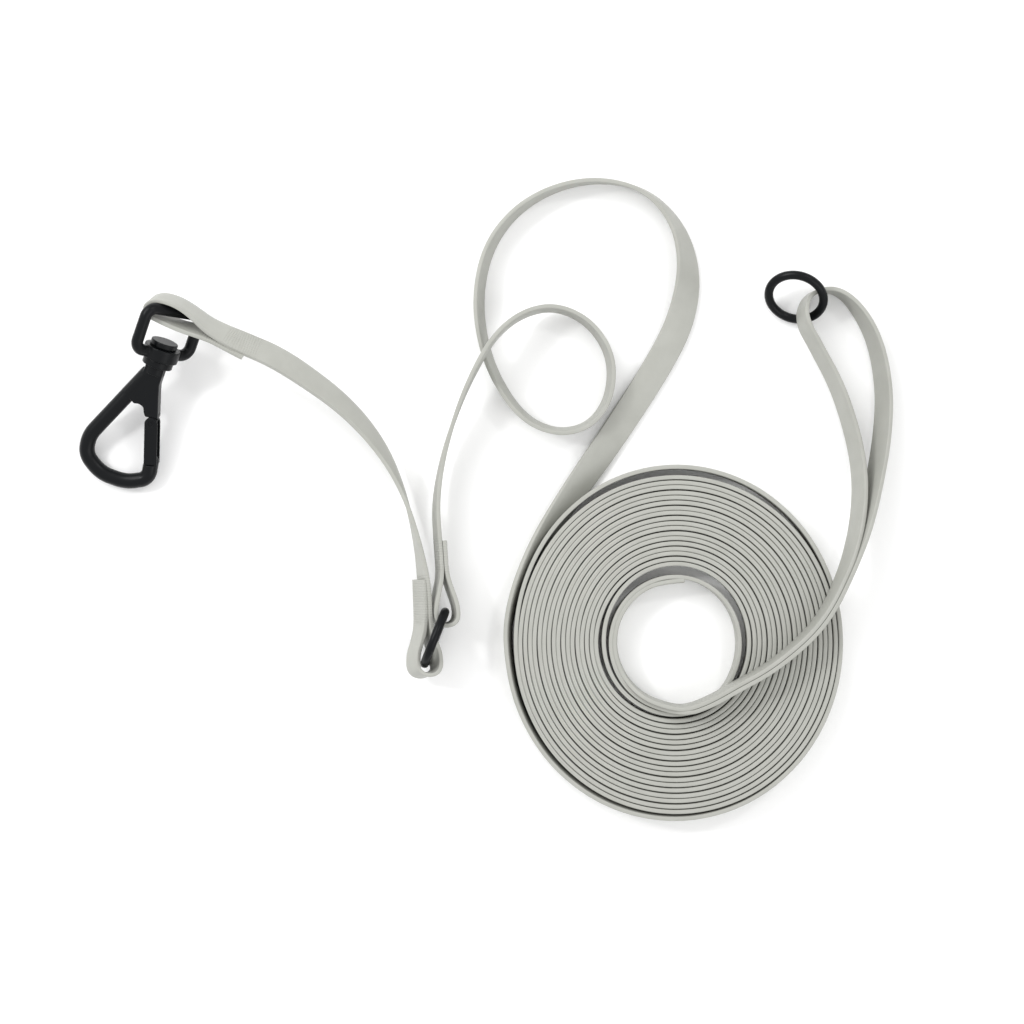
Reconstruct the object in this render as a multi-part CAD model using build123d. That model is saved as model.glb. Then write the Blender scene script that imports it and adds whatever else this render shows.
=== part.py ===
"""Training leash: a 10 m line of flat coated webbing, coiled on its edge.

The line ends in a handle loop with a loose ring on it. At the other end a
connector ring joins it to a short coupler strap, which holds a swivel snap
hook. Everything lies on the ground, z = 0. Lengths are in millimetres.
The origin is at the middle of the whole leash's box, on the ground.
"""
from build123d import *
import math
import os

# Webbing
STRAP_WIDTH = 16.0
STRAP_THICKNESS = 2.5
LAYER_GAP = 0.3             # air between a strap and what it lies on or passes
SEAM_OVERLAP = 1.0          # how far one stretch of a strap runs into the next

# Plain round rings
RING_WIRE = 5.0
RING_RADIUS = 15.5          # to the middle of the wire

# Folds of the straps round a ring or the eye's bar
FOLD_LENGTH = 17.0          # from the wire to where the two layers meet
RING_SLACK = 2.0            # room between a ring's wire and the strap round it
LINE_SET_BACK = 1.3         # each fold's round end is moved to clear the curving wire:
COUPLER_SET_BACK = -1.1     # away from the line's lap, and towards the coupler's
LINE_LAP = 22.0             # doubled stretches, welded
COUPLER_LAP = 30.0
EYE_LAP = 26.0

# Coil of line, standing on its edge
COIL_CENTRE = (106.3, -80.1)
COIL_RADIUS_X = 94.9
COIL_RADIUS_Y = 100.2
HOLE_CENTRE = (105.0, -78.7)
HOLE_RADIUS_X = 36.7
HOLE_RADIUS_Y = 41.8

# Connector ring, standing on its edge between the line and the coupler
CONNECTOR_CENTRE = (-27.6, -77.1)
CONNECTOR_ANGLE = 68.5      # direction of the ring's flat in plan, from +X
LINE_FOLD_ANGLE = 94.0      # direction in which the line leaves the ring
COUPLER_FOLD_ANGLE = 92.0   # direction in which the coupler leaves the ring

# Handle ring, lying tilted, with its lower wire on the ground
HANDLE_RING_CENTRE = (175.1, 113.9)
HANDLE_RING_ANGLE = -20.0   # direction of the ring's level diameter in plan
HANDLE_RING_TILT = 45.0

# Routes of the middle of the strap, chosen point by point
LINE_ROUTE = [
    (-27.4, -2, 17), (-23.5, 24, 15), (-14.5, 52, 19.5), (-5, 73, 24.5),
    (6, 92, 24.5), (22, 105, 18), (41, 109, 11), (60, 100, 8.3), (72, 81, 8.2),
    (71, 58, 8.2), (60, 42, 8.2), (42, 37.5, 8.2), (23, 45, 8.2), (8, 65, 8.2),
    (-1, 88, 8.2), (-4, 115, 8.2), (2, 143, 8.2), (18, 164, 8.2), (41, 177, 8.2),
    (67, 181, 8.2), (93, 174.5, 8.2), (112, 156, 8.2), (119.5, 133, 8.2),
    (117, 110, 8.2), (106, 86, 8.2), (76, 41, 8.2), (42, -7, 8.2), (26, -31, 8.2),
    (16, -56, 8.2), (15, -72, 8.2),
]
COUPLER_ROUTE = [
    (-104.5, 71, 24), (-80, 51.5, 18), (-58, 29, 14), (-44.5, 2, 14), (-37, -24, 17),
]
HANDLE_START_ROUTE = [(139, -56.5, 8.2)]
HANDLE_ROUTE = [
    (117, -44.5, 8.2), (100, -44.5, 8.2), (84, -52, 8.2), (73.5, -68, 8.2), (73.5, -88, 11),
    (82, -104, 15.5), (96, -114.5, 20.5), (113, -117.5, 24.6), (133, -111.5, 24.6), (159, -98, 24.6),
    (183, -78, 24.6), (197, -56, 24.6), (204.5, -36, 23.2),
]
HANDLE_STRAIGHT = 12.0      # straight run of a single layer beside the doubled stretch
LOOP_ROUTE = [
    (221, 16, 15), (226.3, 50, 11), (222, 84, 9),
    (212, 108, 8.4), (201, 118.2, 8.3), (189.9, 118.5, 8.3), (180.2, 113.9, 10.3),
    (177.7, 101.6, 17.5), (187, 86, 12), (202, 60, 11.5), (211, 24, 15.5),
]

# Swivel hook. Its own frame: x across, y along the swivel towards the eye.
HOOK_PLACE = (-181.2, 78.8)      # where the collar meets the eye's foot, in plan
HOOK_TURN = -21.0                # direction of the swivel axis, from +Y
HOOK_RISE = 15.0                 # the eye end stands higher
EYE_ROLL = 45.0                  # the eye's turn about the swivel axis
BOW_WIRE = 8.7
BOW_ROUTE = [
    (-3, -9), (-23.4, -56), (-22, -67), (-10.5, -74.5), (5, -74), (16, -67.5), (14.5, -57.5),
]
BOW_LOW = 73.5                   # the bow's lowest wire, from the collar
BODY_OUTLINE = [
    (-5.6, -2), (5.2, -2), (5.4, -14), (6.9, -19.5), (10.6, -32), (3.5, -33.3), (2.1, -31.5),
    (0.9, -28.6), (-1.9, -27.6), (-5, -28.4), (-12, -24), (-8.6, -16), (-5.6, -10),
]
BODY_THICKNESS = 8.2
NECK_RADIUS = 5.8
NECK_LENGTH = 9.0
COLLAR_RADIUS = 8.6
COLLAR_HEIGHT = 4.0
STUD_RADIUS = 3.0
STUD_DEPTH = 8.0                 # pressed into the collar and neck
STUD_HEAD_RADIUS = 7.6
STUD_HEAD_HEIGHT = 3.2
RUNNING_GAP = 0.08               # radial, a shaft in its hole
END_PLAY = 0.2                   # along a shaft
EYE_WIRE = 6.6
EYE_INNER_WIDTH = 29.4
EYE_INNER_HEIGHT = 18.0
EYE_CORNER = 5.5
EYE_FOOT_HEIGHT = 7.0
EYE_FOOT_RADIUS = 10.3
EYE_FOLD_SHIFT = -1.5            # the fold's middle along the bar, towards its high end
EYE_SLACK = 1.2                  # room between the eye's bar and the strap round it
LAP_TURN = -26.0                 # direction of the lap at the eye in plan, from +X

# Snap gate: a channel folded from sheet that straddles the nose and the tongue
PIN_PLACE = (8.0, -36.1)         # in the hook's frame
GATE_TURN = 17.3                 # the closed gate, from the hook's -y
GATE_WALL = 1.0
GATE_INNER_HEIGHT = 6.4
GATE_LENGTH = 23.5               # from the pin to the free end
GATE_SIDE_RADIUS = 3.7           # round ends of the flanges, about the pin
GATE_WEB_OFFSET = 2.7            # from the pin's axis to the web
GATE_SIDE_GAP = 0.2
TONGUE_BOTTOM = -3.0
TONGUE_TOP = 0.4
TONGUE_RADIUS = 2.4
BODY_FOOT = -32.0                # lower edge of the wedge beside the gate
PIN_RADIUS = 1.2
SPRING_WIRE = 0.6
SPRING_TURNS = 3
SPRING_RADIUS = 1.8              # to the middle of the wire
SPRING_LEG = 7.0
SPRING_AIR = 0.05

UP = Vector(0, 0, 1)
GUIDE_HEIGHT = 50.0
os.makedirs("parts", exist_ok=True)


def on_plan(angle):
    """Unit vector in plan at an angle from +X."""
    return Vector(math.cos(math.radians(angle)), math.sin(math.radians(angle)), 0)


def corner_radii(points):
    """Radius at each inner point: 0.45 of the shorter run over tan(half the turn)."""
    radii = []
    for before, here, after in zip(points, points[1:], points[2:]):
        run_in = here - before
        run_out = after - here
        half_turn = math.radians(run_in.get_angle(run_out)) / 2
        shorter = min(run_in.length, run_out.length)
        radii.append(0.45 * shorter / math.tan(half_turn))
    return radii


def strap_section(place, along, thickness, width_way=UP):
    """Flat rectangle across a strap, its width as near width_way as can be."""
    across = width_way.cross(along).normalized()
    return Plane(origin=place, x_dir=across, z_dir=along) * Rectangle(thickness, STRAP_WIDTH)


def strap_run(name, points, thickness):
    """A strap on its edge, swept along straight runs joined by tangent arcs.

    The guide above the path keeps the strap upright where it climbs.
    """
    radii = corner_radii(points)
    path = FilletPolyline(*points, radius=radii)
    guide = Wire((Pos(0, 0, GUIDE_HEIGHT) * path).edges())
    solid = sweep(strap_section(path @ 0, path % 0, thickness), path=path, binormal=guide)
    whole = thickness * STRAP_WIDTH * path.length
    print(f"{name}: length {path.length:.0f}, radii {min(radii):.0f} to {max(radii):.0f},",
          f"volume / (section x length) {solid.volume / whole:.3f}")
    return solid


def route(places):
    """The points of a route."""
    return [Vector(*place) for place in places]


def fold_outline(inner_radius, set_back, lap):
    """Outline of a strap folded round a wire at the origin, with its lap along +X."""
    doubled = 2 * STRAP_THICKNESS
    eye_of_fold = Pos(-set_back, 0) * Circle(inner_radius)
    outside = Pos(-set_back, 0) * Circle(inner_radius + STRAP_THICKNESS)
    meeting = Pos(FOLD_LENGTH, 0) * Rectangle(SEAM_OVERLAP, doubled)
    point = Pos(FOLD_LENGTH - doubled, 0) * Circle(LAYER_GAP)
    closed = make_hull(outside.edges() + meeting.edges())
    hollow = make_hull(eye_of_fold.edges() + point.edges())
    welded = Pos(FOLD_LENGTH + lap / 2, 0) * Rectangle(lap, doubled)
    return closed + welded - hollow


def ring_fold(wire_centre, angle, lap, set_back):
    """A strap's fold on its edge round a ring's upright wire."""
    outline = fold_outline(RING_WIRE / 2 + RING_SLACK, set_back, lap)
    frame = Pos(*wire_centre) * Rot(0, 0, angle)
    return frame * extrude(outline, STRAP_WIDTH / 2, both=True)


def lap_end(wire_centre, angle, lap, side):
    """Middle of the layer that runs on from a ring fold's lap; side +1 is its left."""
    along = on_plan(angle)
    left = UP.cross(along)
    place = Vector(*wire_centre) + along * (FOLD_LENGTH + lap)
    return place + left * (side * STRAP_THICKNESS / 2), along


def ring(centre, frame_rotation):
    """A plain round ring."""
    return Pos(*centre) * frame_rotation * Torus(RING_RADIUS, RING_WIRE / 2)


# Frames of the hook and of the eye
hook_height = BOW_WIRE / 2 + BOW_LOW * math.sin(math.radians(HOOK_RISE)) + LAYER_GAP
HOOK = Pos(*HOOK_PLACE, hook_height) * Rot(0, 0, HOOK_TURN) * Rot(HOOK_RISE, 0, 0)
EYE = HOOK * Rot(0, EYE_ROLL, 0)
BAR_REACH = EYE_FOOT_HEIGHT + EYE_INNER_HEIGHT + EYE_WIRE / 2
GATE = HOOK * Pos(*PIN_PLACE, 0) * Rot(0, 0, GATE_TURN)

# Wires of the connector ring where the two straps hold it
connector_height = RING_RADIUS + RING_WIRE / 2
connector_flat = on_plan(CONNECTOR_ANGLE)
connector_centre = Vector(*CONNECTOR_CENTRE, connector_height)
LINE_WIRE = connector_centre + connector_flat * RING_RADIUS
COUPLER_WIRE = connector_centre - connector_flat * RING_RADIUS


def connector_ring():
    """Stands on its edge on the ground."""
    return ring(connector_centre, Rot(0, 0, CONNECTOR_ANGLE) * Rot(90, 0, 0))


def handle_ring_frame():
    """The handle ring's own frame, z along its axis."""
    height = RING_WIRE / 2 + RING_RADIUS * math.sin(math.radians(HANDLE_RING_TILT))
    turned = Rot(0, 0, HANDLE_RING_ANGLE) * Rot(HANDLE_RING_TILT, 0, 0)
    return Pos(*HANDLE_RING_CENTRE, height + LAYER_GAP) * turned


def lead_strap():
    """The uncoiled line: folded round the connector ring, then loose to the coil."""
    start, along = lap_end(LINE_WIRE, LINE_FOLD_ANGLE, LINE_LAP, 1)
    points = [start - along * SEAM_OVERLAP] + route(LINE_ROUTE)
    fold = ring_fold(LINE_WIRE, LINE_FOLD_ANGLE, LINE_LAP, LINE_SET_BACK)
    return fold + strap_run("line", points, STRAP_THICKNESS) - line_coil()


def line_coil():
    """The coiled turns as one solid: an oval drum with the hole in its middle."""
    outside = Pos(*COIL_CENTRE) * Ellipse(COIL_RADIUS_X, COIL_RADIUS_Y)
    hole = Pos(*HOLE_CENTRE) * Ellipse(HOLE_RADIUS_X, HOLE_RADIUS_Y)
    return extrude(outside - hole, STRAP_WIDTH)


def handle_strap():
    """The line's end: doubled inside the hole and over the coil, then one open loop."""
    middle = route(HANDLE_ROUTE)
    doubled = strap_run("handle doubled", middle, 2 * STRAP_THICKNESS)

    first = (middle[1] - middle[0]).normalized()
    outer_side = first.cross(UP).normalized() * (STRAP_THICKNESS / 2)
    start = route(HANDLE_START_ROUTE)
    start.append(middle[0] - first * HANDLE_STRAIGHT + outer_side)
    start.append(middle[0] + first * SEAM_OVERLAP + outer_side)
    single = strap_run("handle start", start, STRAP_THICKNESS)

    last = (middle[-1] - middle[-2]).normalized()
    aside = last.cross(UP).normalized() * (STRAP_THICKNESS + LAYER_GAP) * 0.5
    seam = middle[-1] - last * SEAM_OVERLAP
    straight = middle[-1] + last * HANDLE_STRAIGHT
    ends = [seam + aside, straight + aside], [straight - aside, seam - aside]
    loop = strap_run("handle loop", ends[0] + route(LOOP_ROUTE) + ends[1], STRAP_THICKNESS)
    return doubled + loop + single - line_coil()


def eye_fold():
    """The coupler's fold round the eye's bar and the frame of its lap.

    The strap leaves at a slant, so the fold is drawn square to the bar, made
    long, and cut to the strap's width square to the lap.
    """
    bar_frame = Plane(EYE * Pos(0, BAR_REACH, 0))
    bar_way = bar_frame.x_dir
    lap_way = on_plan(LAP_TURN)
    width_way = (lap_way * bar_way.dot(lap_way) - bar_way).normalized()
    square_way = (lap_way - bar_way * bar_way.dot(lap_way)).normalized()
    fold_plane = Plane(origin=bar_frame.origin, x_dir=square_way, z_dir=bar_way)
    outline = fold_outline(EYE_WIRE / 2 + EYE_SLACK, 0, EYE_LAP)
    long_fold = fold_plane * extrude(outline, 3 * STRAP_WIDTH, both=True)
    middle = bar_frame.origin + bar_way * EYE_FOLD_SHIFT
    slab_plane = Plane(origin=middle, x_dir=lap_way, z_dir=width_way)
    slab_side = 4 * (FOLD_LENGTH + EYE_LAP)
    slab = slab_plane * Box(slab_side, slab_side, STRAP_WIDTH)
    return long_fold & slab, slab_plane


def coupler_strap():
    """Short strap, folded and welded round the hook's eye and the connector ring."""
    fold, lap_frame = eye_fold()
    lap_way = lap_frame.x_dir
    top_side = lap_frame.y_dir * (STRAP_THICKNESS / 2)
    if top_side.Z < 0:
        top_side = top_side * -1
    lap_stop = lap_frame.origin + top_side + lap_way * (FOLD_LENGTH + EYE_LAP)

    end, along = lap_end(COUPLER_WIRE, COUPLER_FOLD_ANGLE, COUPLER_LAP, -1)
    points = route(COUPLER_ROUTE) + [end - along * SEAM_OVERLAP]
    run = strap_run("coupler", points, STRAP_THICKNESS)

    run_way = (points[1] - points[0]).normalized()
    leaning = strap_section(lap_stop - lap_way * SEAM_OVERLAP, lap_way, STRAP_THICKNESS,
                            lap_frame.z_dir)
    upright = strap_section(points[0] + run_way * SEAM_OVERLAP, run_way, STRAP_THICKNESS)
    twist = loft([leaning, upright], ruled=True)
    ring_end = ring_fold(COUPLER_WIRE, COUPLER_FOLD_ANGLE, COUPLER_LAP, COUPLER_SET_BACK)
    return fold + twist + run + ring_end


def hook_frame():
    """The hook's cast body: collar, neck, wedge, arm and bow, with the gate's seats."""
    points = route([(x, y, 0) for x, y in BOW_ROUTE])
    path = FilletPolyline(*points, radius=corner_radii(points))
    wire = sweep(Plane(origin=path @ 0, z_dir=path % 0) * Circle(BOW_WIRE / 2), path=path)
    nose_tip = Pos(*points[-1]) * Sphere(BOW_WIRE / 2)
    wedge = extrude(make_face(Polyline(*BODY_OUTLINE, close=True)), BODY_THICKNESS / 2, both=True)
    neck = Pos(0, -NECK_LENGTH / 2, 0) * Rot(90, 0, 0) * Cylinder(NECK_RADIUS, NECK_LENGTH)
    collar = Pos(0, -COLLAR_HEIGHT / 2, 0) * Rot(90, 0, 0) * Cylinder(COLLAR_RADIUS, COLLAR_HEIGHT)
    blank = wire + nose_tip + wedge + neck + collar

    pin = Pos(*PIN_PLACE, 0)
    closed = pin * Rot(0, 0, GATE_TURN)
    swing = 2 * BOW_WIRE
    top_reach = max(GATE_SIDE_RADIUS, GATE_WEB_OFFSET + GATE_WALL) + GATE_SIDE_GAP
    blank = blank - pin * Cylinder(top_reach, swing)
    flat_height = GATE_INNER_HEIGHT / 2 - GATE_SIDE_GAP
    reach = math.hypot(GATE_LENGTH, GATE_WEB_OFFSET + GATE_WALL) + GATE_SIDE_GAP
    swept = pin * Cylinder(reach, BOW_WIRE)
    lower_half = closed * Pos(0, -GATE_LENGTH, 0) * Box(swing, GATE_LENGTH, 2 * swing)
    for side in (-1, 1):
        blank = blank - (Pos(0, 0, side * (flat_height + BOW_WIRE / 2)) * swept & lower_half)
    seat_edge = GATE_SIDE_GAP - GATE_WEB_OFFSET
    seat = closed * Pos(seat_edge - BOW_WIRE / 2, -GATE_LENGTH, 0)
    blank = blank - (seat * Box(BOW_WIRE, GATE_LENGTH, BOW_WIRE + 1) & swept)

    thickness = TONGUE_TOP - TONGUE_BOTTOM
    tongue_place = Pos(0, 0, TONGUE_BOTTOM)
    round_end = pin * Circle(TONGUE_RADIUS)
    root = Pos(PIN_PLACE[0], BODY_FOOT + 1) * Rectangle(2 * TONGUE_RADIUS, 2)
    tongue = extrude(make_hull(round_end.edges() + root.edges()), thickness)
    blank = blank + tongue_place * tongue
    blank = blank - pin * Cylinder(PIN_RADIUS, swing)
    bore = Pos(0, -STUD_DEPTH / 2, 0) * Rot(90, 0, 0) * Cylinder(STUD_RADIUS, STUD_DEPTH)
    return HOOK * (blank - bore)


def swivel_stud():
    """Shank pressed into the hook's neck, with a flat round head inside the eye."""
    top = EYE_FOOT_HEIGHT + 2 * END_PLAY
    length = STUD_DEPTH + top
    shank = Pos(0, top - length / 2, 0) * Rot(90, 0, 0) * Cylinder(STUD_RADIUS, length)
    head_place = Pos(0, top + STUD_HEAD_HEIGHT / 2, 0) * Rot(90, 0, 0)
    return HOOK * (shank + head_place * Cylinder(STUD_HEAD_RADIUS, STUD_HEAD_HEIGHT))


def swivel_eye():
    """Rounded square eye of wire on a round foot that turns on the stud."""
    foot = Pos(0, EYE_FOOT_HEIGHT / 2, 0) * Rot(90, 0, 0) * Cylinder(EYE_FOOT_RADIUS, EYE_FOOT_HEIGHT)
    width = EYE_INNER_WIDTH + EYE_WIRE
    bottom = EYE_FOOT_HEIGHT / 2
    outline = Pos(0, (BAR_REACH + bottom) / 2) * RectangleRounded(
        width, BAR_REACH - bottom, EYE_CORNER)
    path = outline.wire()
    loop = sweep(Plane(origin=path @ 0, z_dir=path % 0) * Circle(EYE_WIRE / 2), path=path)
    hole = Pos(0, bottom, 0) * Rot(90, 0, 0) * Cylinder(STUD_RADIUS + RUNNING_GAP, 3 * EYE_FOOT_HEIGHT)
    head_room_height = EYE_FOOT_HEIGHT
    head_room = Pos(0, EYE_FOOT_HEIGHT + head_room_height / 2, 0) * Rot(90, 0, 0) * Cylinder(
        STUD_HEAD_RADIUS + END_PLAY, head_room_height)
    return EYE * Pos(0, END_PLAY, 0) * (foot + loop - hole - head_room)


def hook_gate():
    """Channel folded from sheet: web on the inside, two flanges over nose and tongue."""
    height = GATE_INNER_HEIGHT + 2 * GATE_WALL
    left = -GATE_WEB_OFFSET - GATE_WALL
    width = GATE_SIDE_RADIUS - left
    side = Pos(left + width / 2, -GATE_LENGTH / 2) * Rectangle(width, GATE_LENGTH)
    side = side + Circle(GATE_SIDE_RADIUS)
    solid = extrude(side, height / 2, both=True)
    room_width = width + GATE_SIDE_RADIUS
    room = Pos(-GATE_WEB_OFFSET + room_width / 2, 0, 0) * Box(
        room_width, 3 * GATE_LENGTH, GATE_INNER_HEIGHT)
    return GATE * (solid - room - Cylinder(PIN_RADIUS + RUNNING_GAP, 2 * height))


def gate_pin():
    """Plain pin pressed into the hook's tongue; the gate turns on it."""
    return HOOK * Pos(*PIN_PLACE, 0) * Cylinder(PIN_RADIUS, GATE_INNER_HEIGHT + 2 * GATE_WALL)


def gate_spring():
    """Torsion spring on the pin beside the tongue, one leg on the body, one on the web."""
    pitch = SPRING_WIRE + SPRING_AIR
    height = pitch * SPRING_TURNS
    base = TONGUE_TOP + 2 * SPRING_AIR + SPRING_WIRE / 2
    coil = Helix(pitch, height, SPRING_RADIUS)
    round_wire = Circle(SPRING_WIRE / 2)
    body = sweep(Plane(origin=coil @ 0, z_dir=coil % 0) * round_wire, path=coil, is_frenet=True)
    leg = Pos(0, -SPRING_LEG / 2, 0) * Rot(90, 0, 0) * Cylinder(SPRING_WIRE / 2, SPRING_LEG)
    first = Pos(*(coil @ 0)) * leg
    last = Pos(*(coil @ 1)) * leg
    return GATE * Pos(0, 0, base) * (body + first + last)


def export(part, name):
    """Write one sub-part."""
    part.label = name
    export_step(part, f"parts/{name}.step")


export(lead_strap(), "lead_strap")
export(line_coil(), "line_coil")
export(handle_strap(), "handle_strap")
export(handle_ring_frame() * Torus(RING_RADIUS, RING_WIRE / 2), "handle_ring")
export(connector_ring(), "connector_ring")
export(coupler_strap(), "coupler_strap")
export(swivel_eye(), "swivel_eye")
export(swivel_stud(), "swivel_stud")
export(hook_frame(), "hook_frame")
export(hook_gate(), "hook_gate")
export(gate_pin(), "gate_pin")
export(gate_spring(), "gate_spring")
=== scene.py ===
"""Looks of the training leash, in the CAD frame. Metres; routes are written in millimetres."""
import bpy
import math
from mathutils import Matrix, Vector


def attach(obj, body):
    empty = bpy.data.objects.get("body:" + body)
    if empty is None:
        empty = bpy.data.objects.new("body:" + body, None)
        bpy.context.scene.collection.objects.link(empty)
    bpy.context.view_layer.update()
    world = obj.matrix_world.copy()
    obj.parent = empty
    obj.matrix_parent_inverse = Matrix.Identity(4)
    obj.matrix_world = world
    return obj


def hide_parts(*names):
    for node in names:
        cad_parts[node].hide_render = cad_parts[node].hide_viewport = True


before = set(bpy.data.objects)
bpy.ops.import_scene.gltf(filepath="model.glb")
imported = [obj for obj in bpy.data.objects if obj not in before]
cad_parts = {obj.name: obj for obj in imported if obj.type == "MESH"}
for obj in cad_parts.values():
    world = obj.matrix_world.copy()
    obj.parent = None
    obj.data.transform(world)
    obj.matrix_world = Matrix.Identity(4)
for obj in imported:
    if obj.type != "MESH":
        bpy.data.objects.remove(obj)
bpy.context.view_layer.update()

MM = 0.001
UP = Vector((0, 0, 1))

# Camera: straight above the leash, looking down, with +Y up in the picture
CAMERA_PLACE = (15.6, -6.7, 1512.0)
PICTURE_WIDTH_ON_FLOOR = 580.2
SENSOR_WIDTH = 36
CLIP_END = 10               # metres

# Webbing
STRAP_WIDTH = 16.0
STRAP_THICKNESS = 2.4
STRAP_CORNER = 0.55
CORNER_POINTS = 4
SHARP_ANGLE = 50
ROUTE_STEPS = 10            # points along the line for each control point
TOUCHING = 2.55             # from middle to middle of two layers that touch
REST = STRAP_WIDTH / 2 + 0.1

# Coil. Radii from its centre to the middle of the strap, at the left, bottom, right and top.
COIL_CENTRE = (107.5, -80.1)
POINTS_PER_TURN = 16
COIL_TURNS = 21             # the last one ends past the left, where the handle leaves
LAST_ANGLE = 75             # where the last turn ends, from the left
OUTER_LEAN = 9              # degrees, the outermost turn at its left
SMALL_LEAN = 1.2            # degrees, how unevenly the other turns stand
LEAN_PHASE = 2.4            # radians from one turn to the next
LEFT = 0
OUTER_TURN = (93.4, 98.2, 92.2, 98.9)
SECOND_TURN = (89.6, 95.0, 89.4, 93.1)
LAST_TIGHT_TURN = (44.6, 43.9, 41.2, 44.5)
LAST_TIGHT = 19
LOOSE_TURN = (40.4, 40.4, 35.6, 37.0)
HANDLE_TURN = (36.4, 37.6, 37.6, 37.6)


def nurbs_points(places):
    """Points read along a NURBS line through the route's control points, in millimetres."""
    line = bpy.data.curves.new("route", "CURVE")
    line.dimensions = "3D"
    spline = line.splines.new("NURBS")
    spline.points.add(len(places) - 1)
    for point, place in zip(spline.points, places):
        point.co = (place[0], place[1], place[2], 1.0)
    spline.order_u = 3
    spline.use_endpoint_u = True
    spline.resolution_u = ROUTE_STEPS
    holder = bpy.data.objects.new("route", line)
    bpy.context.scene.collection.objects.link(holder)
    bpy.context.view_layer.update()
    evaluated = holder.evaluated_get(bpy.context.evaluated_depsgraph_get())
    mesh = bpy.data.meshes.new_from_object(evaluated)
    points = [vertex.co.copy() for vertex in mesh.vertices]
    bpy.data.objects.remove(holder)
    bpy.data.meshes.remove(mesh)
    bpy.data.curves.remove(line)
    return points


def strap_section():
    """Rounded rectangle: x across the thickness, y up the width, counter-clockwise."""
    outline = []
    half_x = STRAP_THICKNESS / 2 - STRAP_CORNER
    half_y = STRAP_WIDTH / 2 - STRAP_CORNER
    for quarter, (side_x, side_y) in enumerate(((1, 1), (-1, 1), (-1, -1), (1, -1))):
        for step in range(CORNER_POINTS):
            angle = math.pi / 2 * (quarter + step / (CORNER_POINTS - 1))
            x = side_x * half_x + STRAP_CORNER * math.cos(angle)
            y = side_y * half_y + STRAP_CORNER * math.sin(angle)
            outline.append((x, y))
    return outline


def lean_ways(route):
    """Width direction at each control point of a route of (x, y, z, lean).

    Lean is in degrees: how far the strap's upper edge tips to the right of the way it runs.
    """
    ways = []
    for index, place in enumerate(route):
        before = Vector(route[max(index - 1, 0)][:3])
        after = Vector(route[min(index + 1, len(route) - 1)][:3])
        right = (after - before).normalized().cross(UP).normalized()
        lean = math.radians(place[3])
        ways.append(UP * math.cos(lean) + right * math.sin(lean))
    return ways


def strap_mesh(name, places, ways):
    """A strap along control points, with its width direction given at each of them."""
    middle = nurbs_points(places)
    widths = nurbs_points(ways)
    section = strap_section()
    count = len(section)
    verts = []
    uvs = []
    along = 0.0
    for index, point in enumerate(middle):
        before = middle[max(index - 1, 0)]
        after = middle[min(index + 1, len(middle) - 1)]
        way = (after - before).normalized()
        width_way = widths[index] - way * widths[index].dot(way)
        width_way.normalize()
        face_way = way.cross(width_way)
        if index:
            along += (point - before).length
        for x, y in section:
            verts.append((point + face_way * x + width_way * y) * MM)
            uvs.append((along * MM, y * MM))
    faces = []
    for ring in range(len(middle) - 1):
        for corner in range(count):
            following = (corner + 1) % count
            first = ring * count
            second = first + count
            faces.append((first + corner, first + following, second + following, second + corner))
    faces.append(tuple(reversed(range(count))))
    faces.append(tuple(range(len(verts) - count, len(verts))))
    mesh = bpy.data.meshes.new(name)
    mesh.from_pydata([tuple(vert) for vert in verts], [], faces)
    layer = mesh.uv_layers.new(name="along")
    for loop in mesh.loops:
        layer.data[loop.index].uv = uvs[loop.vertex_index]
    mesh.validate()
    mesh.shade_smooth()
    mesh.set_sharp_from_angle(angle=math.radians(SHARP_ANGLE))
    strap = bpy.data.objects.new(name, mesh)
    bpy.context.scene.collection.objects.link(strap)
    print(name, "length", round(along / 1000, 3), "m")
    return strap, along * MM


def fold_route(wire, angle, profile, lean):
    """A route in a fold's own plan: u along its lap, v to the left.

    Both laps lean the same way, which is the other way for the one that runs to the ring.
    """
    along = Vector((math.cos(math.radians(angle)), math.sin(math.radians(angle)), 0))
    left = UP.cross(along)
    middle = (len(profile) - 1) / 2
    places = []
    for index, (u, v) in enumerate(profile):
        place = Vector(wire) + along * u + left * v
        side = (index > middle) - (index < middle)
        places.append((place.x, place.y, place.z, lean * side))
    return places


def coil_radius(turn, angle):
    """Radius at a turn (from 1) and an angle from the left, through bottom, right and top."""
    quarter = int(angle // 90) % 4
    share = math.sin(math.radians(angle - 90 * quarter)) ** 2
    following = (quarter + 1) % 4
    here = turn_radius(turn, quarter)
    there = turn_radius(turn + (1 if following == LEFT else 0), following)
    return here + (there - here) * share


def turn_radius(turn, side):
    """Radius of a turn where it passes one of the four sides."""
    if turn == 1:
        return OUTER_TURN[side]
    if turn <= LAST_TIGHT:
        share = (turn - 2) / (LAST_TIGHT - 2)
        return SECOND_TURN[side] + (LAST_TIGHT_TURN[side] - SECOND_TURN[side]) * share
    if turn == LAST_TIGHT + 1:
        return LOOSE_TURN[side]
    return HANDLE_TURN[side]


def coil_point(radius, angle, height, lean):
    """Control point on the coil; angle from its left side, counter-clockwise."""
    swell = 1 / math.cos(math.pi / POINTS_PER_TURN)
    turned = math.radians(180 + angle)
    x = COIL_CENTRE[0] + radius * swell * math.cos(turned)
    y = COIL_CENTRE[1] + radius * swell * math.sin(turned)
    return (x, y, height, lean)


def coil_lean(turn, angle):
    """The outermost turn leans out on the left and lower left; the rest hardly lean."""
    if turn == 1:
        return OUTER_LEAN * math.cos(math.radians(min(angle, 180) / 2)) ** 2 + 1
    return SMALL_LEAN * math.sin(turn * LEAN_PHASE + math.radians(angle))


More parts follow.
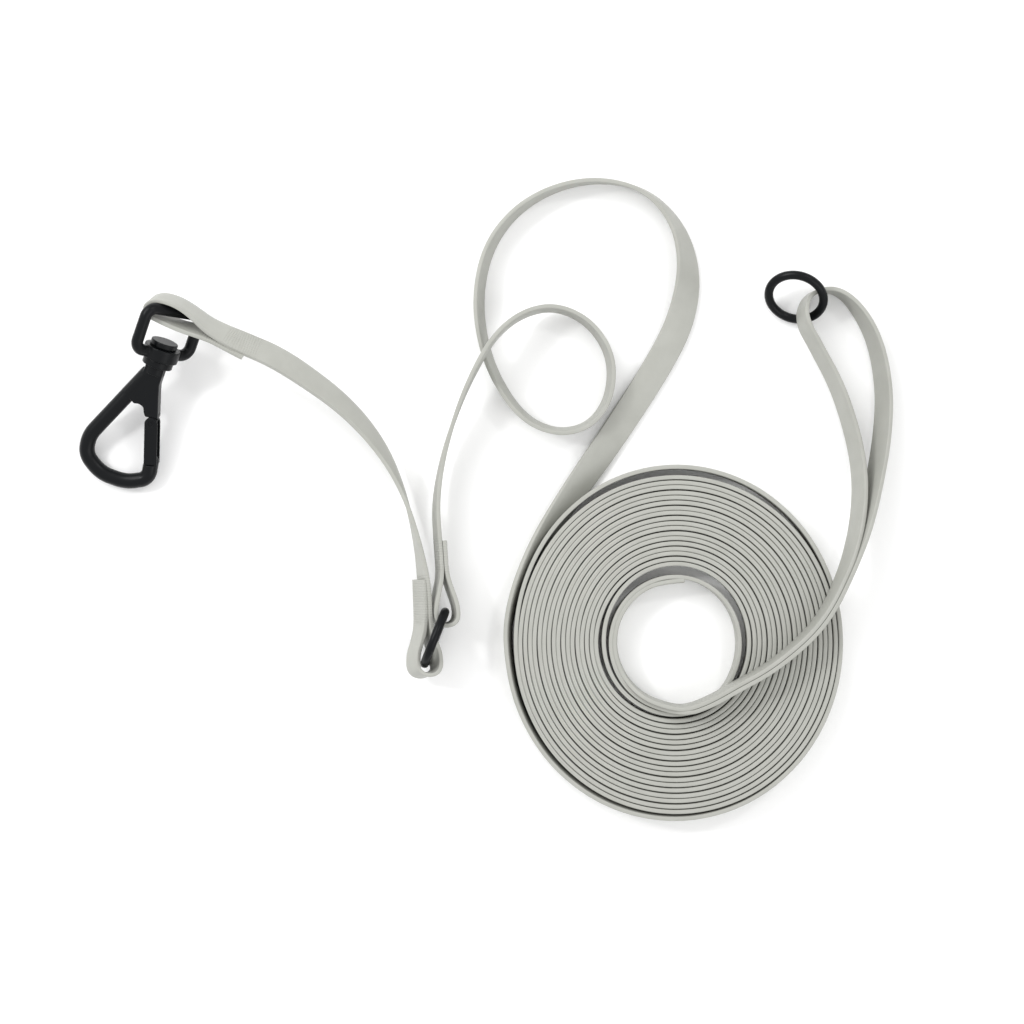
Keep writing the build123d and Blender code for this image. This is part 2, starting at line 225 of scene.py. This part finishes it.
def coil_route():
    """The wound turns, from the left side of the first to the bottom of the last."""
    places = []
    step = 360 / POINTS_PER_TURN
    last = (COIL_TURNS - 1) * 360 + LAST_ANGLE
    for index in range(int(last / step) + 1):
        turned = index * step
        turn = int(turned // 360) + 1
        angle = turned % 360
        places.append(coil_point(coil_radius(turn, angle), angle, REST, coil_lean(turn, angle)))
    return places


# Line: fold at the connector ring, then the loose stretch to the coil
LINE_WIRE = (-21.9, -62.7, 18.0)
LINE_FOLD_ANGLE = 94.0
LINE_FOLD_LEAN = 12
LINE_FOLD = [
    (40, -1.25), (30, -1.25), (21, -1.3), (12, -3.6), (3, -6.2), (-5, -6), (-8, 0),
    (-5, 6), (3, 6.2), (12, 3.6), (21, 1.3), (30, 1.25), (39, 1.25),
]
LINE_ROUTE = [
    (-27.4, -2, 17, 10), (-23.5, 24, 15, 5), (-14.5, 52, 19.5, 0), (-5, 73, 24.6, -3),
    (6, 92, 24.6, -3), (22, 105, 18, -5), (41, 109, 11, -5), (60, 100, 8.3, -7),
    (72, 81, REST, -9), (71, 58, REST, -10), (60, 42, REST, -10), (42, 37.5, REST, -10),
    (23, 45, REST, -12), (8, 65, REST, -14), (-1, 88, REST, -15), (-4, 115, REST, -15),
    (2, 143, REST, -14), (18, 164, REST, -9), (41, 177, REST, -3), (67, 181, REST, 3),
    (92, 174.5, REST, 10), (109, 156, REST, 24), (115.5, 133, 7.5, 45), (113.5, 110, 5, 68),
    (104.5, 86, 3, 84), (76, 41, 3, 80), (42, -7, 6.5, 50), (26, -31, 8, 24),
    (15.5, -56, REST, 13),
]

# Handle: the strap climbs out of the coil's hole, over the coil, round a loop and back
CROSSING = [
    (113.5, -119, 18, 3), (127, -113.5, 24.6, 4), (141.3, -105.2, 24.8, 4),
    (158.4, -96.1, 24.8, 4), (174.9, -83.2, 24.8, 5), (186.4, -71.7, 24.8, 6),
    (195.1, -58.6, 24.8, 8), (201.7, -43.8, 24.8, 12),
]
LOOP = [
    (207.0, -31.0, 23.8, 16), (213.0, -14.0, 21.0, 22), (219.0, 10.0, 15.0, 26),
    (224.0, 36.0, 11.0, 27), (225.5, 62.0, 9.0, 25), (221.0, 88.0, 8.2, 21),
    (212.0, 106.0, 8.2, 16), (200.9, 117.5, 8.2, 5), (189.7, 118.9, 8.3, -1),
    (180.4, 113.5, 10.6, -4), (177.7, 101.4, 16.3, -17), (186.9, 86.0, 10.2, -17),
    (199.0, 64.0, 9.0, -19), (208.0, 36.0, 9.5, -21), (211.5, 12.0, 12.5, -21),
    (209.5, -12.0, 18.0, -20), (204.0, -31.5, 23.5, -16),
]
# The end runs back round the inside of the hole, angles from the coil's left side
TAIL_START_ANGLE = 82
TAIL_POINTS = 9
TAIL_CLIMB = 8
TAIL_CLIMB_POINTS = 2
TAIL_LEAN = -3


def beside(places, offset):
    """The same route run backwards, offset to the right of its first way; leans change sign."""
    moved = []
    for index, place in enumerate(places):
        before = Vector(places[max(index - 1, 0)][:2] + (0,))
        after = Vector(places[min(index + 1, len(places) - 1)][:2] + (0,))
        right = (after - before).normalized().cross(UP)
        moved.append((place[0] + right.x * offset, place[1] + right.y * offset,
                      place[2], -place[3]))
    return list(reversed(moved))


def line_route():
    """The whole line, from its welded end at the connector ring to the tail in the hole."""
    fold = fold_route(LINE_WIRE, LINE_FOLD_ANGLE, LINE_FOLD, LINE_FOLD_LEAN)
    back = beside(CROSSING, -TOUCHING)
    tail = []
    step = 360 / POINTS_PER_TURN
    for index in range(TAIL_POINTS):
        angle = TAIL_START_ANGLE - index * step
        climb = max(0.0, 1 - index / TAIL_CLIMB_POINTS) * TAIL_CLIMB
        turn = COIL_TURNS if angle >= 0 else COIL_TURNS - 1
        radius = coil_radius(turn, angle % 360) - TOUCHING
        tail.append(coil_point(radius, angle, REST + climb, TAIL_LEAN))
    return fold + LINE_ROUTE + coil_route() + CROSSING + LOOP + back + tail


route = line_route()
line_places = [place[:3] for place in route]
line_strap, line_length = strap_mesh("line_strap", line_places, lean_ways(route))
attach(line_strap, "line")
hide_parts("lead_strap", "line_coil", "handle_strap")

# Coupler
COUPLER_WIRE = (-33.3, -91.5, 18.0)
COUPLER_FOLD_ANGLE = 92.0
COUPLER_FOLD = [
    (47, 1.25), (34, 1.25), (21, 1.3), (12, 3.8), (5, 6.2), (-4, 6.4), (-7, 0),
    (-4, -6.4), (5, -6.2), (12, -3.8), (21, -1.3), (34, -1.25), (46, -1.25),
]
BAR = (-172.2, 104.4, 31.6)
LAP_WAY = Vector((0.899, -0.438, 0.0))
LAP_TOP = Vector((0.413, 0.847, 0.336))
LAP_RIGHT = Vector((-0.438, -0.899, 0.0))
EYE_FOLD = [                # along the lap, across the layers, lean
    (46, -1.25, 46), (36, -1.25, 43), (27, -1.5, 36), (18, -3.4, 27), (8, -5.6, 21),
    (-3, -6.2, 20),
    (-12.5, -6.0, 20), (-15, -1.0, 20), (-10, 4.5, 20), (0, 6.3, 20), (10, 5.0, 22), (20, 2.0, 29),
    (29, 1.25, 37), (38, 1.25, 44),
]
COUPLER_ROUTE = [
    (-130, 85.5, 30.5, 47), (-118, 80.5, 29, 48), (-103, 71.6, 25, 46), (-78, 53.3, 18.5, 36),
    (-58.4, 30.9, 14.5, 22), (-45.5, 5.6, 14, 2), (-37.5, -22.4, 16.5, -10),
]
RING_LEANS = (-22, -25, -26, -26)


def coupler_route():
    """Places and width directions, from the welded end at the hook's eye to that at the ring."""
    places = []
    ways = []
    for u, v, lean in EYE_FOLD:
        places.append(Vector(BAR) + LAP_WAY * u + LAP_TOP * v)
        tip = math.radians(lean)
        ways.append(UP * math.cos(tip) + LAP_RIGHT * math.sin(tip))
    ring_fold = fold_route(COUPLER_WIRE, COUPLER_FOLD_ANGLE, COUPLER_FOLD, 0)
    ring_fold.reverse()
    rest = list(COUPLER_ROUTE)
    rest += [place[:3] + (lean,) for place, lean in zip(ring_fold, RING_LEANS)]
    ways += lean_ways([tuple(places[-1]) + (0,)] + rest)[1:]
    places += [place[:3] for place in rest]
    for place in ring_fold[len(RING_LEANS):]:
        places.append(place[:3])
        ways.append(ways[-1])
    return places, ways


coupler_strap, coupler_length = strap_mesh("coupler_webbing", *coupler_route())
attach(coupler_strap, "coupler")
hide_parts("coupler_strap")

# Camera
camera = bpy.data.objects.new("camera", bpy.data.cameras.new("camera"))
bpy.context.scene.collection.objects.link(camera)
camera.location = Vector(CAMERA_PLACE) * MM
camera.rotation_euler = (0, 0, 0)
camera.data.sensor_width = SENSOR_WIDTH
camera.data.lens = SENSOR_WIDTH * CAMERA_PLACE[2] / PICTURE_WIDTH_ON_FLOOR
camera.data.clip_end = CLIP_END
bpy.context.scene.camera = camera


# Materials
WELD_WAVES = 2200.0         # radians a metre
WELD_DEPTH = 0.25


def material(name):
    """A node material and its surface shader."""
    made = bpy.data.materials.new(name)
    made.use_nodes = True
    return made, made.node_tree.nodes["Principled BSDF"]


def calculate(tree, operation, first, second):
    """A maths node; its inputs are sockets or plain values."""
    node = tree.nodes.new("ShaderNodeMath")
    node.operation = operation
    for socket, given in zip(node.inputs, (first, second)):
        if isinstance(given, bpy.types.NodeSocket):
            tree.links.new(given, socket)
        else:
            socket.default_value = given
    return node.outputs["Value"]


def weld_pattern(tree, place, spans):
    """Pressed diamonds on the welded laps, given as spans of the strap's length in mm."""
    split = tree.nodes.new("ShaderNodeSeparateXYZ")
    tree.links.new(place.outputs["UV"], split.inputs["Vector"])
    along = split.outputs["X"]
    pressed = 0.0
    for start, stop in spans:
        inside = calculate(tree, "MULTIPLY", calculate(tree, "GREATER_THAN", along, start * MM),
                           calculate(tree, "LESS_THAN", along, stop * MM))
        pressed = calculate(tree, "ADD", pressed, inside)
    waves = []
    for sign in (1, -1):
        slanted = calculate(tree, "MULTIPLY_ADD", split.outputs["Y"], sign)
        slanted.node.inputs[2].default_value = 0
        tree.links.new(along, slanted.node.inputs[2])
        waves.append(calculate(tree, "SINE", calculate(tree, "MULTIPLY", slanted, WELD_WAVES), 0.0))
    diamonds = calculate(tree, "MULTIPLY", waves[0], waves[1])
    return calculate(tree, "MULTIPLY", pressed, diamonds)


def webbing_material(name, weld_spans):
    """Smooth matte coating over a fine weave, warm light grey, with pressed welds."""
    made, shader = material(name)
    nodes = made.node_tree.nodes
    links = made.node_tree.links
    shader.inputs["Roughness"].default_value = 0.5
    shader.inputs["Specular IOR Level"].default_value = 0.4
    place = nodes.new("ShaderNodeUVMap")
    place.uv_map = "along"
    mottle = nodes.new("ShaderNodeTexNoise")
    mottle.inputs["Scale"].default_value = 90.0
    mottle.inputs["Detail"].default_value = 3.0
    links.new(place.outputs["UV"], mottle.inputs["Vector"])
    tint = nodes.new("ShaderNodeValToRGB")
    tint.color_ramp.elements[0].position = 0.3
    tint.color_ramp.elements[0].color = (0.345, 0.348, 0.318, 1)
    tint.color_ramp.elements[1].position = 0.7
    tint.color_ramp.elements[1].color = (0.372, 0.375, 0.345, 1)
    links.new(mottle.outputs["Fac"], tint.inputs["Fac"])
    links.new(tint.outputs["Color"], shader.inputs["Base Color"])
    ribs = nodes.new("ShaderNodeTexWave")
    ribs.inputs["Scale"].default_value = 320.0
    ribs.inputs["Distortion"].default_value = 0.6
    links.new(place.outputs["UV"], ribs.inputs["Vector"])
    grain = nodes.new("ShaderNodeTexNoise")
    grain.inputs["Scale"].default_value = 1800.0
    links.new(place.outputs["UV"], grain.inputs["Vector"])
    mix = nodes.new("ShaderNodeMath")
    mix.operation = "MULTIPLY_ADD"
    mix.inputs[1].default_value = 0.35
    links.new(ribs.outputs["Fac"], mix.inputs[0])
    links.new(grain.outputs["Fac"], mix.inputs[2])
    bump = nodes.new("ShaderNodeBump")
    bump.inputs["Strength"].default_value = 0.12
    bump.inputs["Distance"].default_value = 0.0001
    links.new(mix.outputs["Value"], bump.inputs["Height"])
    weld = nodes.new("ShaderNodeBump")
    weld.inputs["Strength"].default_value = 0.6
    weld.inputs["Distance"].default_value = WELD_DEPTH * MM
    links.new(weld_pattern(made.node_tree, place, weld_spans), weld.inputs["Height"])
    links.new(bump.outputs["Normal"], weld.inputs["Normal"])
    links.new(weld.outputs["Normal"], shader.inputs["Normal"])
    return made


def black_metal_material():
    """Satin black plating with a faint orange-peel skin."""
    made, shader = material("black_plating")
    nodes = made.node_tree.nodes
    links = made.node_tree.links
    shader.inputs["Base Color"].default_value = (0.0040, 0.0046, 0.0054, 1)
    shader.inputs["Metallic"].default_value = 0.0
    shader.inputs["Specular IOR Level"].default_value = 0.16
    place = nodes.new("ShaderNodeTexCoord")
    skin = nodes.new("ShaderNodeTexNoise")
    skin.inputs["Scale"].default_value = 900.0
    skin.inputs["Detail"].default_value = 4.0
    links.new(place.outputs["Object"], skin.inputs["Vector"])
    rough = nodes.new("ShaderNodeMapRange")
    rough.inputs["To Min"].default_value = 0.26
    rough.inputs["To Max"].default_value = 0.36
    links.new(skin.outputs["Fac"], rough.inputs["Value"])
    links.new(rough.outputs["Result"], shader.inputs["Roughness"])
    bump = nodes.new("ShaderNodeBump")
    bump.inputs["Strength"].default_value = 0.08
    bump.inputs["Distance"].default_value = 0.0002
    links.new(skin.outputs["Fac"], bump.inputs["Height"])
    links.new(bump.outputs["Normal"], shader.inputs["Normal"])
    return made


coupler_end = coupler_length / MM
LINE_WELDS = ((1, 19), (86, 104))
COUPLER_WELDS = ((1, 26), (113, 133), (coupler_end - 118, coupler_end - 93),
                 (coupler_end - 25, coupler_end - 1))
line_strap.data.materials.append(webbing_material("line_webbing", LINE_WELDS))
coupler_strap.data.materials.append(webbing_material("coupler_webbing", COUPLER_WELDS))
black_metal = black_metal_material()

METAL_NODES = ("handle_ring", "connector_ring", "swivel_eye", "swivel_stud", "hook_frame",
               "hook_gate", "gate_pin", "gate_spring")
for name in METAL_NODES:
    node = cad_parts[name]
    node.data.materials.clear()
    node.data.materials.append(black_metal)

# Cast and pressed pieces get soft, rounded edges: skin size in mm and rounds of smoothing
CAST_EDGES = {"hook_frame": (0.3, 14), "swivel_eye": (0.3, 12), "swivel_stud": (0.3, 6),
              "hook_gate": (0.2, 5)}
for name, (skin, rounds) in CAST_EDGES.items():
    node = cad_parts[name]
    cast = node.modifiers.new("cast", "REMESH")
    cast.mode = "VOXEL"
    cast.voxel_size = skin * MM
    cast.use_smooth_shade = True
    soften = node.modifiers.new("soften", "SMOOTH")
    soften.factor = 0.5
    soften.iterations = rounds

# Floor and light
floor_mesh = bpy.data.meshes.new("floor")
reach = 3.0
corners = [(-reach, -reach, 0), (reach, -reach, 0), (reach, reach, 0), (-reach, reach, 0)]
floor_mesh.from_pydata(corners, [], [(0, 1, 2, 3)])
floor = bpy.data.objects.new("floor", floor_mesh)
bpy.context.scene.collection.objects.link(floor)
paper, paper_shader = material("paper")
paper_shader.inputs["Base Color"].default_value = (0.93, 0.93, 0.93, 1)
paper_shader.inputs["Roughness"].default_value = 0.9
floor_mesh.materials.append(paper)


def area_light(name, place, target, size, power):
    """A square light; place and size in metres, power in watts."""
    light = bpy.data.lights.new(name, "AREA")
    light.size = size
    light.energy = power
    holder = bpy.data.objects.new(name, light)
    bpy.context.scene.collection.objects.link(holder)
    holder.location = place
    holder.rotation_euler = (Vector(target) - Vector(place)).to_track_quat("-Z", "Y").to_euler()
    return holder


# Soft key and fill from either side; two small glints draw highlights on the black metal
key = area_light("key", (-1.1, 1.3, 1.5), (0, 0, 0), 1.2, 20)
fill = area_light("fill", (1.4, -0.9, 1.7), (0, 0, 0), 1.6, 12)
glint_left = area_light("glint_left", (-1.2, 0.5, 1.3), (-0.1, 0, 0), 0.22, 7.0)
glint_right = area_light("glint_right", (0.9, 0.9, 1.5), (-0.1, 0, 0), 0.22, 4.0)

world = bpy.data.worlds.new("studio")
world.use_nodes = True
world.node_tree.nodes["Background"].inputs["Color"].default_value = (1, 1, 1, 1)
world.node_tree.nodes["Background"].inputs["Strength"].default_value = 0.92
bpy.context.scene.world = world
bpy.context.scene.view_settings.view_transform = "Standard"
